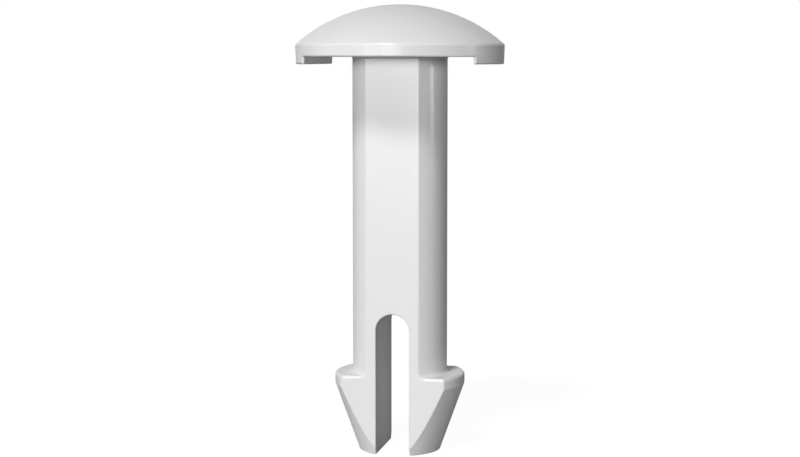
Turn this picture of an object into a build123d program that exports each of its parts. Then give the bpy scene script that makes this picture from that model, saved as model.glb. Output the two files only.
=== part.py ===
"""Push-in plastic hole plug, moulded in one piece.

The plug stands on its two leg tips with its head up. Z runs along the shank, and the origin is midway
between the tips. The flats of the shank face -Y and +Y, and the slot runs through between the legs
along Y.
"""

from build123d import *
from math import hypot, radians, tan
import os

# ---- driving dimensions, mm ----
# head
HEAD_D = 13.15          # across the rim at its widest
DOME_H = 2.5            # crown of the dome above the rim
RIM_H = 0.78            # upright side of the head, above the feet
RIM_DRAFT = 2.0         # degrees that the upright side leans in towards the feet
FOOT_H = 0.45           # how far the two feet stand down from the underside
PRY_GAP_W = 10.5        # between the feet, for the blade that lifts the plug out

# shank
SHANK_D = 6.0           # round part of the shank
FLAT_DEPTH = 0.5        # how deep each of the two flats cuts into the round
GRIP_L = 19.5           # from the face of the feet to the catch of the barbs

# snap legs
BARB_D = 8.25           # across the barbs
BAND_H = 0.7            # upright band of a barb, below its catch
NOSE_H = 4.3            # tapered nose, from the band to the tips
TIP_D = 5.15            # across the tips
SLOT_W = 2.1            # between the legs
SLOT_L = 8.95           # from the tips to the crown of the slot's arch

# rounded edges
DOME_EDGE_R = 0.2       # between the dome and the upright side
FOOT_EDGE_R = 0.1       # lower edges of the head and all round the feet
NECK_R = 0.1            # between the shank and the underside of the head
CATCH_ROOT_R = 0.2      # between the round of the shank and a catch
BARB_EDGE_R = 0.2       # upper edges and upright corners of a barb
LEG_EDGE_R = 0.08       # edges of the slot, the noses and the tips

FLATS_W = SHANK_D - 2 * FLAT_DEPTH  # across the flats of the shank and the legs

# ---- heights above the tips ----
BAND_Z = NOSE_H
CATCH_Z = BAND_Z + BAND_H
SEAT_Z = CATCH_Z + GRIP_L
UNDERSIDE_Z = SEAT_Z + FOOT_H
RIM_Z = UNDERSIDE_Z + RIM_H
TOP_Z = RIM_Z + DOME_H

NEAR = 0.001            # how closely an edge has to lie at its place to be picked


# ---- picking edges ----
def at_z(shape, z):
    """Edges whose middle lies at one height."""
    return shape.edges().filter_by_position(Axis.Z, z - NEAR, z + NEAR)


def at_x(edges, x):
    """Those of the edges whose middle lies at x or -x."""
    return ShapeList(e for e in edges if abs(abs((e @ 0.5).X) - x) < NEAR)


def at_y(edges, y):
    """Those of the edges whose middle lies at y or -y."""
    return ShapeList(e for e in edges if abs(abs((e @ 0.5).Y) - y) < NEAR)


def at_radius(edges, radius):
    """Those of the edges whose middle lies at this distance from the Z axis."""
    return ShapeList(e for e in edges if abs(hypot((e @ 0.5).X, (e @ 0.5).Y) - radius) < NEAR)


# ---- head ----
def head_radius(z):
    """Radius of the drafted upright side of the head at a height."""
    return HEAD_D / 2 - (RIM_Z - z) * tan(radians(RIM_DRAFT))


def head():
    """Solid dome over an upright side that is drafted down to the face of the feet."""
    dome = TangentArc((0, TOP_Z), (HEAD_D / 2, RIM_Z), tangent=(1, 0))
    side = Polyline((HEAD_D / 2, RIM_Z), (head_radius(SEAT_Z), SEAT_Z), (0, SEAT_Z), (0, TOP_Z))
    solid = revolve(Plane.XZ * make_face(dome + side), Axis.Z)
    solid -= Pos(0, 0, SEAT_Z) * Box(PRY_GAP_W, 2 * HEAD_D, 2 * FOOT_H)
    return round_head(solid)


def round_head(solid):
    """Rounds the edge of the dome, then the lower edges and the upright corners of the feet."""
    solid = fillet(at_radius(at_z(solid, RIM_Z), HEAD_D / 2), DOME_EDGE_R)
    foot_edges = at_z(solid, SEAT_Z)
    corners = at_x(at_z(solid, (SEAT_Z + UNDERSIDE_Z) / 2), PRY_GAP_W / 2)
    gap_edges = at_radius(at_z(solid, UNDERSIDE_Z), head_radius(UNDERSIDE_Z))
    return fillet(foot_edges + corners + gap_edges, FOOT_EDGE_R)


# ---- shank and legs ----
def shank():
    """Round shank and barbed nose, cut by two flats and split into legs by an arched slot."""
    outline = Polyline(
        (0, UNDERSIDE_Z),
        (SHANK_D / 2, UNDERSIDE_Z),
        (SHANK_D / 2, CATCH_Z),
        (BARB_D / 2, CATCH_Z),
        (BARB_D / 2, BAND_Z),
        (TIP_D / 2, 0),
        (0, 0),
        (0, UNDERSIDE_Z),
    )
    solid = revolve(Plane.XZ * make_face(outline), Axis.Z)
    solid &= Pos(0, 0, UNDERSIDE_Z / 2) * Box(BARB_D, FLATS_W, UNDERSIDE_Z)
    return round_legs(solid - slot())


def slot():
    """Cutter for the gap between the legs, with a full-round arch at its top."""
    arch_z = SLOT_L - SLOT_W / 2
    straight = Pos(0, 0, arch_z / 2) * Box(SLOT_W, BARB_D, arch_z)
    arch = Pos(0, 0, arch_z) * Rot(90, 0, 0) * Cylinder(SLOT_W / 2, BARB_D)
    return straight + arch


def round_legs(solid):
    """Rounds the roots of the catches, the barbs, and then the finer edges of the legs."""
    solid = fillet(at_radius(at_z(solid, CATCH_Z), SHANK_D / 2), CATCH_ROOT_R)
    catch_edges = at_radius(at_z(solid, CATCH_Z), BARB_D / 2) + at_y(at_z(solid, CATCH_Z), FLATS_W / 2)
    corners = at_y(at_z(solid, BAND_Z + BAND_H / 2), FLATS_W / 2)
    solid = fillet(catch_edges + corners.filter_by(GeomType.LINE), BARB_EDGE_R)
    nose_edges = solid.edges().filter_by(GeomType.HYPERBOLA)
    slot_edges = at_x(solid.edges().filter_by(Axis.Z), SLOT_W / 2)
    arch_edges = at_x(solid.edges().filter_by(GeomType.CIRCLE), 0)
    return fillet(nose_edges + slot_edges + arch_edges + at_z(solid, 0), LEG_EDGE_R)


def hole_plug():
    """Head and shank in one moulding, with a small fillet at the neck."""
    solid = head() + shank()
    underside = at_z(solid, UNDERSIDE_Z)
    neck = at_radius(underside, SHANK_D / 2) + at_y(underside, FLATS_W / 2)
    return fillet(neck, NECK_R)


os.makedirs("parts", exist_ok=True)
export_step(hole_plug(), "parts/hole_plug.step")
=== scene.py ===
"""Looks of the push-in hole plug: moulded plastic, a pale floor, soft studio lamps and the camera."""

import bpy
from math import cos, radians, sin
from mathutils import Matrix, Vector


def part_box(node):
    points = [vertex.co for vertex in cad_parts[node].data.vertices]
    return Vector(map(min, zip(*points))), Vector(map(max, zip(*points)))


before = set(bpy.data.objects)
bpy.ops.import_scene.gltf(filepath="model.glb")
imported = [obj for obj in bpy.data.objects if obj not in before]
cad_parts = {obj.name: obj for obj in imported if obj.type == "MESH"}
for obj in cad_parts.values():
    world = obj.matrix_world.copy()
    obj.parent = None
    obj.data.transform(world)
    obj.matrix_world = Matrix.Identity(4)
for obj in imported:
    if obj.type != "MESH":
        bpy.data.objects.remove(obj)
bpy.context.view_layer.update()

MM = 0.001
PLUG = "hole_plug"
PLUG_LOW, PLUG_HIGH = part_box(PLUG)
PLUG_TALL = PLUG_HIGH[2] - PLUG_LOW[2]
PLUG_MIDDLE = Vector((0, 0, PLUG_LOW[2] + PLUG_TALL / 2))

# ---- camera ----
CAMERA_AZIMUTH = 11.37       # degrees to the right of the front
CAMERA_AWAY = 110.3 * MM     # from the plug's axis
CAMERA_HIGH = 25.0 * MM      # above the floor
CAMERA_LENS = 78.6

# ---- plastic; textures are in features a metre ----
PALE = (0.814, 0.814, 0.814, 1)
DEEPER = (0.806, 0.806, 0.808, 1)
SHEEN = 0.05                 # share of the light in an even sheen that stays low at grazing angles
CLOUD_SCALE = 220
RUB_SCALE = 900
RUB_LOW = 0.19               # roughness where the mould was polished best
RUB_HIGH = 0.22
WAVE_SCALE = 700
WAVE_DEEP = 0.02 * MM
SKIN_SCALE = 6000
SKIN_DEEP = 0.004 * MM

# ---- surroundings ----
FLOOR_SIZE = 4.0
FLOOR_GREY = 0.12            # colour of the floor that takes the shadow
FLOOR_LIFT = 0.96            # brings the lit floor up to white
ROOM_LEVEL = 0.03            # dim room that fills the shadows
WHITE = (1, 1, 1, 1)
LAMP_AWAY = 300 * MM

# name, azimuth, elevation and how wide it looks in degrees, strength
LAMPS = (
    ("key", -12, 50, 12, 1.65),
    ("front", 0, 0, 20, 2.3),
    ("front_left", -23, 2, 12, 0.7),
    ("left", -72, 2, 16, 0.5),
    ("right_strip", 95, 3, 8, 0.3),
    ("back", CAMERA_AZIMUTH + 180, 0, 60, 1.0),
)


# ---- node helpers ----
def new_material(name):
    """Material with an empty node tree and its output node."""
    material = bpy.data.materials.new(name)
    material.use_nodes = True
    nodes = material.node_tree.nodes
    nodes.clear()
    output = nodes.new("ShaderNodeOutputMaterial")
    return material, nodes, material.node_tree.links, output


def noise(nodes, links, vector, scale, detail):
    """Noise texture on the given coordinates."""
    texture = nodes.new("ShaderNodeTexNoise")
    texture.inputs["Scale"].default_value = scale
    texture.inputs["Detail"].default_value = detail
    texture.inputs["Roughness"].default_value = 0.5
    links.new(vector, texture.inputs["Vector"])
    return texture.outputs["Fac"]


def spread(nodes, links, value, low, high):
    """Maps a noise value from its usual range to low and high."""
    ramp = nodes.new("ShaderNodeMapRange")
    ramp.inputs["From Min"].default_value = 0.3
    ramp.inputs["From Max"].default_value = 0.7
    ramp.inputs["To Min"].default_value = low
    ramp.inputs["To Max"].default_value = high
    links.new(value, ramp.inputs["Value"])
    return ramp.outputs["Result"]


def bump(nodes, links, height, strength, distance):
    """Bump from a height, with its strength and depth."""
    made = nodes.new("ShaderNodeBump")
    made.inputs["Strength"].default_value = strength
    made.inputs["Distance"].default_value = distance
    links.new(height, made.inputs["Height"])
    return made


# ---- the plug's plastic ----
def plug_plastic():
    """Light grey moulded plastic: an even sheen, faint flow clouds and the fine skin of a mould."""
    material, nodes, links, output = new_material("plug_plastic")
    shader = nodes.new("ShaderNodeBsdfPrincipled")
    shader.inputs["Specular IOR Level"].default_value = 0
    shader.inputs["Metallic"].default_value = SHEEN
    links.new(shader.outputs["BSDF"], output.inputs["Surface"])
    place = nodes.new("ShaderNodeTexCoord").outputs["Object"]

    clouds = noise(nodes, links, place, CLOUD_SCALE, 3)
    tone = nodes.new("ShaderNodeMix")
    tone.data_type = "RGBA"
    tone.inputs["A"].default_value = DEEPER
    tone.inputs["B"].default_value = PALE
    links.new(spread(nodes, links, clouds, 0, 1), tone.inputs["Factor"])
    links.new(tone.outputs["Result"], shader.inputs["Base Color"])

    rub = noise(nodes, links, place, RUB_SCALE, 4)
    links.new(spread(nodes, links, rub, RUB_LOW, RUB_HIGH), shader.inputs["Roughness"])

    waves = bump(nodes, links, noise(nodes, links, place, WAVE_SCALE, 2), 0.05, WAVE_DEEP)
    skin = bump(nodes, links, noise(nodes, links, place, SKIN_SCALE, 3), 0.06, SKIN_DEEP)
    links.new(waves.outputs["Normal"], skin.inputs["Normal"])
    links.new(skin.outputs["Normal"], shader.inputs["Normal"])
    return material


def finish_plug(material):
    """Gives the moulded plug its plastic."""
    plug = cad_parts[PLUG]
    for place in plug.material_slots:
        place.material = material


# ---- floor and surroundings ----
def seen_directly(nodes, links):
    """1 for camera, glossy and transmission rays, and 0 for the rays that light other surfaces."""
    rays = nodes.new("ShaderNodeLightPath")
    first = nodes.new("ShaderNodeMath")
    first.operation = "MAXIMUM"
    links.new(rays.outputs["Is Camera Ray"], first.inputs[0])
    links.new(rays.outputs["Is Glossy Ray"], first.inputs[1])
    both = nodes.new("ShaderNodeMath")
    both.operation = "MAXIMUM"
    links.new(first.outputs["Value"], both.inputs[0])
    links.new(rays.outputs["Is Transmission Ray"], both.inputs[1])
    return both.outputs["Value"]


def floor_material():
    """Pale floor that keeps the plug's shadow and reads as white where nothing shades it."""
    material, nodes, links, output = new_material("floor_pale")
    ground = nodes.new("ShaderNodeBsdfDiffuse")
    ground.inputs["Color"].default_value = (FLOOR_GREY, FLOOR_GREY, FLOOR_GREY, 1)
    glow = nodes.new("ShaderNodeEmission")
    lift = nodes.new("ShaderNodeMath")
    lift.operation = "MULTIPLY"
    lift.inputs[1].default_value = FLOOR_LIFT
    links.new(seen_directly(nodes, links), lift.inputs[0])
    links.new(lift.outputs["Value"], glow.inputs["Strength"])
    both = nodes.new("ShaderNodeAddShader")
    links.new(ground.outputs["BSDF"], both.inputs[0])
    links.new(glow.outputs["Emission"], both.inputs[1])
    links.new(both.outputs["Shader"], output.inputs["Surface"])
    return material


def floor():
    """Plain floor at the level of the leg tips."""
    bpy.ops.object.select_all(action="DESELECT")
    bpy.ops.mesh.primitive_plane_add(size=FLOOR_SIZE, location=(0, 0, PLUG_LOW[2]))
    ground = bpy.context.object
    ground.name = "floor"
    ground.data.materials.append(floor_material())


def background(nodes, strength):
    """White background shader of one strength."""
    made = nodes.new("ShaderNodeBackground")
    made.inputs["Color"].default_value = WHITE
    made.inputs["Strength"].default_value = strength
    return made.outputs["Background"]


def surroundings():
    """White behind the plug, and a dim grey room for the light that fills its shadows."""
    world = bpy.data.worlds.new("studio")
    bpy.context.scene.world = world
    world.use_nodes = True
    nodes, links = world.node_tree.nodes, world.node_tree.links
    nodes.clear()
    output = nodes.new("ShaderNodeOutputWorld")
    mix = nodes.new("ShaderNodeMixShader")
    links.new(seen_directly(nodes, links), mix.inputs["Fac"])
    links.new(background(nodes, ROOM_LEVEL), mix.inputs[1])
    links.new(background(nodes, 1), mix.inputs[2])
    links.new(mix.outputs["Shader"], output.inputs["Surface"])


# ---- lamps ----
def sun(name, azimuth, elevation, wide, strength):
    """Distant lamp that lights evenly from one direction; azimuth 0 is in front, 90 to the right."""
    data = bpy.data.lights.new(name, "SUN")
    data.angle = radians(wide)
    data.energy = strength
    made = bpy.data.objects.new(name, data)
    bpy.context.collection.objects.link(made)
    made.location = PLUG_MIDDLE + direction(azimuth, elevation) * LAMP_AWAY
    made.rotation_euler = direction(azimuth, elevation).to_track_quat("Z", "Y").to_euler()


def direction(azimuth, elevation):
    """Unit vector from the plug towards a place round it, in degrees."""
    a, e = radians(azimuth), radians(elevation)
    return Vector((sin(a) * cos(e), -cos(a) * cos(e), sin(e)))


# ---- camera ----
def camera():
    """Long lens a little to the right of the front, level with the head and aimed at the plug's middle."""
    data = bpy.data.cameras.new("camera")
    data.sensor_width = 36
    data.lens = CAMERA_LENS
    data.clip_start = 0.005
    made = bpy.data.objects.new("camera", data)
    bpy.context.collection.objects.link(made)
    place = direction(CAMERA_AZIMUTH, 0) * CAMERA_AWAY
    place.z = CAMERA_HIGH
    made.location = place
    made.rotation_euler = (place - PLUG_MIDDLE).to_track_quat("Z", "Y").to_euler()
    bpy.context.scene.camera = made


finish_plug(plug_plastic())
floor()
surroundings()
for setting in LAMPS:
    sun(*setting)
camera()

view = bpy.context.scene.view_settings
view.view_transform = "Standard"
